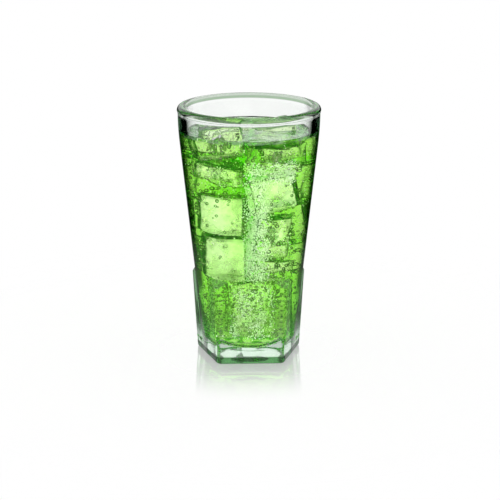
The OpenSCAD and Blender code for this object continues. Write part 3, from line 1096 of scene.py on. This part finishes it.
# %% Fine beads on the ice and afloat
frosted = [pockets[node] for node in ice_nodes if STYLES.get(node, PLAIN) not in (CLEAR, FERNY)]
frosted_ice = joined("frosted_ice", frosted)
on_ice["base"] = frosted_ice.data.copy()
column = {"low": Vector((-5, -40, 50)) * MM, "high": Vector((11, -6, 112)) * MM}
at_bottom = {"low": Vector((-14, -40, 12)) * MM, "high": Vector((16, -8, 48)) * MM}
under_top = {"low": Vector((-4, -40, 108)) * MM, "high": Vector((26, -8, 124)) * MM}
beads = [
    grow(fizz, "beads_on_ice", density=300000.0, clump_size=14 * MM, clump_from=0.45, clump_to=0.62, seed=8,
         depth=0.5 * MM, **on_ice, **fine, **anywhere),
    grow(fizz, "beads_afloat", density=50000.0, clump_size=12 * MM, clump_from=0.4, clump_to=0.62, seed=16,
         depth=9 * MM, **on_wall, **fine, **anywhere),
    grow(fizz, "beads_in_column", density=2500000.0, clump_size=8 * MM, clump_from=0.3, clump_to=0.55,
         seed=24, depth=2.5 * MM, **on_wall, **fine, **column),
    grow(fizz, "beads_under_top", density=2500000.0, clump_size=8 * MM, clump_from=0.35, clump_to=0.55,
         seed=28, depth=1.2 * MM, **on_wall, **fine, **under_top),
    grow(fizz, "beads_at_bottom", density=2000000.0, clump_size=8 * MM, clump_from=0.4, clump_to=0.6, seed=32,
         depth=3 * MM, **on_wall, **fine, **at_bottom),
]
for layer in beads:
    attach(layer, "glass")
    print(layer.name, triangles(layer), "triangles")
for helper in (all_ice, frosted_ice, *hollows, *pockets.values()):
    bpy.data.objects.remove(helper)

# %% [markdown]
# ## Floor
# The glass stands on a white table that mirrors it close by. A mirror all over would show the surround, and
# a matt board would show no reflection, so the board here is a mix of both that changes with the distance.
# A thin gap of air under the foot lets the underside of the base mirror the drink, as it does on a real
# table.

# %% Make the board
FLOOR_R = 250 * MM
FLOOR_GAP = 0.2 * MM
FLOOR_SIDES = 96
board = bpy.data.meshes.new("floor")
corners = [TURN * k / FLOOR_SIDES for k in range(FLOOR_SIDES)]
rim = [(FLOOR_R * math.cos(angle), FLOOR_R * math.sin(angle), -FLOOR_GAP) for angle in corners]
board.from_pydata(rim, [], [range(FLOOR_SIDES)])
floor = bpy.data.objects.new("floor", board)
scene.collection.objects.link(floor)
print("floor radius", FLOOR_R)

# %% Finish the board
WHITE = (1, 1, 1, 1)
BLACK = (0, 0, 0, 1)
MIRROR_SHARE = 0.5
MIRROR_FADE = (26 * MM, 90 * MM)
MIRRORED_SHADE = 0.9
SHADE_THROUGH = 0.75
SHADE_FADE = (40 * MM, 160 * MM)
WHITE_SHOWN = 0.85
WHITE_THROUGH = 0.9
EDGE_FADE = (0.7 * FLOOR_R, FLOOR_R)
white = bpy.data.materials.new("white_board")
white.use_nodes = True
floor_tree = white.node_tree
floor_tree.nodes.clear()
spot = add(floor_tree, "TexCoord").outputs["Object"]
from_middle = Term(floor_tree, vector(floor_tree, "LENGTH", spot))
path = add(floor_tree, "LightPath").outputs
mirrored = Term(floor_tree, path["Glossy Depth"])
through = Term(floor_tree, path["Is Transmission Ray"]) * mirrored.math("LESS_THAN", 0.5)

# The board glows to the eye and through glass, with a painted shadow near the glass and painted shade in
# mirrors
shade = 1 - mirrored.math("GREATER_THAN", 0.5) * MIRRORED_SHADE
matt = add(floor_tree, "BsdfDiffuse", {"Color": mixed(floor_tree, shade, BLACK, WHITE)})
# Painted shadow: seen through the glass, the board is greyer close to it
near = 1 - ramp(floor_tree, from_middle, *SHADE_FADE)
glow = add(floor_tree, "Emission", {"Color": WHITE, "Strength": 1 - through * near * SHADE_THROUGH})
shown = Term(floor_tree, path["Is Camera Ray"]) * WHITE_SHOWN + through * WHITE_THROUGH
pale = add(floor_tree, "MixShader", {0: shown, 1: matt.outputs[0], 2: glow.outputs[0]})

# Its mirror, which Blender calls anisotropic, fades away from the glass, and the board fades at its edge
mirror = add(floor_tree, "BsdfAnisotropic", {"Color": WHITE, "Roughness": 0.0})
mirror_share = MIRROR_SHARE * (1 - ramp(floor_tree, from_middle, *MIRROR_FADE))
both = add(floor_tree, "MixShader", {0: mirror_share, 1: pale.outputs[0], 2: mirror.outputs[0]})
nothing = add(floor_tree, "BsdfTransparent")
faded = add(floor_tree, "MixShader",
            {0: ramp(floor_tree, from_middle, *EDGE_FADE), 1: both.outputs[0], 2: nothing.outputs[0]})
floor_tree.links.new(faded.outputs[0], add(floor_tree, "OutputMaterial").inputs[0])
board.materials.append(white)
print("board mirrors at most", MIRROR_SHARE, "of the light")

# %% [markdown]
# ## Light
# Clear glass shows only what it bends or mirrors into view. Lamps would put hard spots on it, and in an
# all-white surround its edges would vanish. So the surround is white, with dark cards beside the backdrop
# that draw the edges, as a photographer sets them up for glass. The darkest card shows only in mirrored
# light and the others are fainter, so the glass looks clear from every side. The number of clear surfaces
# that a ray has passed tells the bare wall from the filled part, which stays bright. Milky ice and beads
# get more light from the front, as from a soft lamp beside the camera.

# %% What a ray has met on its way
WALL_PASSES = 3.5
DRINK_PASSES = 5.5
MILK_PASSES = 2.5
BASE_PASSES = 2.0
FEW_MIRRORS = 2.5
world = bpy.data.worlds.new("surround")
scene.world = world
world.use_nodes = True
sky = world.node_tree
sky.nodes.clear()
path = add(sky, "LightPath").outputs
passed = Term(sky, path["Transmission Depth"])
mirrored = Term(sky, path["Glossy Depth"])
scattered = Term(sky, path["Diffuse Depth"]).math("GREATER_THAN", 0.5)
in_wall = passed.math("LESS_THAN", WALL_PASSES)
in_drink = passed.math("GREATER_THAN", DRINK_PASSES)
between = 1 - in_wall - in_drink
in_base = passed.math("COMPARE", BASE_PASSES, 0.1)
straight = mirrored.math("LESS_THAN", 0.5)
often = mirrored.math("GREATER_THAN", FEW_MIRRORS)
rarely = 1 - straight - often
bent = Term(sky, path["Is Glossy Ray"]).math("MAXIMUM", Term(sky, path["Is Transmission Ray"]))
seen = bent * (1 - scattered)
print("surround:", world.name)

# %% Dark cards
# Each card has two angles from the middle of the backdrop, a soft edge, all in degrees, and its darkness
EDGE_CARD = (11, 50, 3, 0.95)
FAINT_CARD = (11, 181, 3, 0.3)
HIGH_CARD = (32, 60, 4, 0.7)
NECK_CARD = (13, 27, 2, 0.7)
DRINK_CARD = (34, 80, 8, 0.85)
ZENITH_DARK = 0.3
UPPER_DARK = 0.85
TABLE_DARK = 0.85
DEEP_DARK = 0.5
to_right, to_back, rise = parts_of(sky, add(sky, "TexCoord").outputs["Generated"])
aside = to_right.math("ARCTAN2", to_back).math("ABSOLUTE") * (360 / TURN)


def card(start, end, soft, darkness):
    """How dark a card between two angles from the backdrop's middle makes the surround."""
    return ramp(sky, aside, start, start + soft) * (1 - ramp(sky, aside, end - soft, end)) * darkness


low = 1 - ramp(sky, rise, 0.02, 0.12)
zenith = ramp(sky, rise, 0.45, 0.7)
down = 1 - ramp(sky, rise, 0.0, 0.1)
upwards = ramp(sky, rise, 0.03, 0.25)
low_cards = (1 - straight) * card(*EDGE_CARD) + card(*FAINT_CARD)
dark = in_wall * (low * low_cards + (1 - low) * card(*HIGH_CARD))
dark = dark + between * (1 - straight) * card(*NECK_CARD) * low
dark = dark + (1 - in_drink) * zenith * ZENITH_DARK
dark = dark + in_drink * straight * (card(*DRINK_CARD) * low + upwards * UPPER_DARK)
dark = dark + rarely * down * (1 - in_base) * TABLE_DARK
dark = dark + often * DEEP_DARK * passed.math("GREATER_THAN", WALL_PASSES)
print("darkest card:", EDGE_CARD)

# %% White surround and front light
FRONT_LIGHT = 3.5
front = ramp(sky, to_back * -1.0, 0.2, 0.8) * scattered * passed.math("GREATER_THAN", MILK_PASSES)
strength = 1 - dark.math("MINIMUM", 1.0) * seen + front * FRONT_LIGHT
light = add(sky, "Background", {"Color": WHITE, "Strength": strength})
sky.links.new(light.outputs[0], add(sky, "OutputWorld").inputs[0])
print("surround made of", len(sky.nodes), "nodes")

# %% [markdown]
# ## Camera
# The camera stands a metre away, above the rim, and looks down at the glass. Its place could be set by eye.
# Here it follows from the rim's ellipse, the taper of the wall and the corners of the foot, which look as
# they do on the real glass only from one place. Light crosses many clear surfaces on its way through glass,
# drink and ice, so it is given more bounces than usual, or the middle of the drink would turn dark.

# %% Place the camera
CAMERA_AWAY = 982 * MM
CAMERA_HEIGHT = 340 * MM
CAMERA_AZIMUTH = math.radians(-2.05)
CAMERA_LENS = 123.5
CAMERA_SENSOR = 36
CAMERA_CLIP = 10 * MM
AIM = Vector((0.58 * MM, 0, 62.3 * MM))
lens = bpy.data.cameras.new("camera")
lens.lens = CAMERA_LENS
lens.sensor_width = CAMERA_SENSOR
lens.clip_start = CAMERA_CLIP
camera = bpy.data.objects.new("camera", lens)
scene.collection.objects.link(camera)
to_side = CAMERA_AWAY * math.sin(CAMERA_AZIMUTH)
to_front = CAMERA_AWAY * math.cos(CAMERA_AZIMUTH)
camera.location = (to_side, -to_front, CAMERA_HEIGHT)
camera.rotation_euler = (AIM - camera.location).to_track_quat("-Z", "Y").to_euler()
scene.camera = camera
print("camera at", [round(v, 4) for v in camera.location])

# %% Colours and bounces of light
CLEAR_BOUNCES = 48
MIRROR_BOUNCES = 24
MATT_BOUNCES = 8
scene.view_settings.view_transform = "Standard"
scene.cycles.max_bounces = CLEAR_BOUNCES
scene.cycles.transmission_bounces = CLEAR_BOUNCES
scene.cycles.glossy_bounces = MIRROR_BOUNCES
scene.cycles.diffuse_bounces = MATT_BOUNCES
scene.cycles.blur_glossy = 0.0
print("light may cross", CLEAR_BOUNCES, "surfaces")
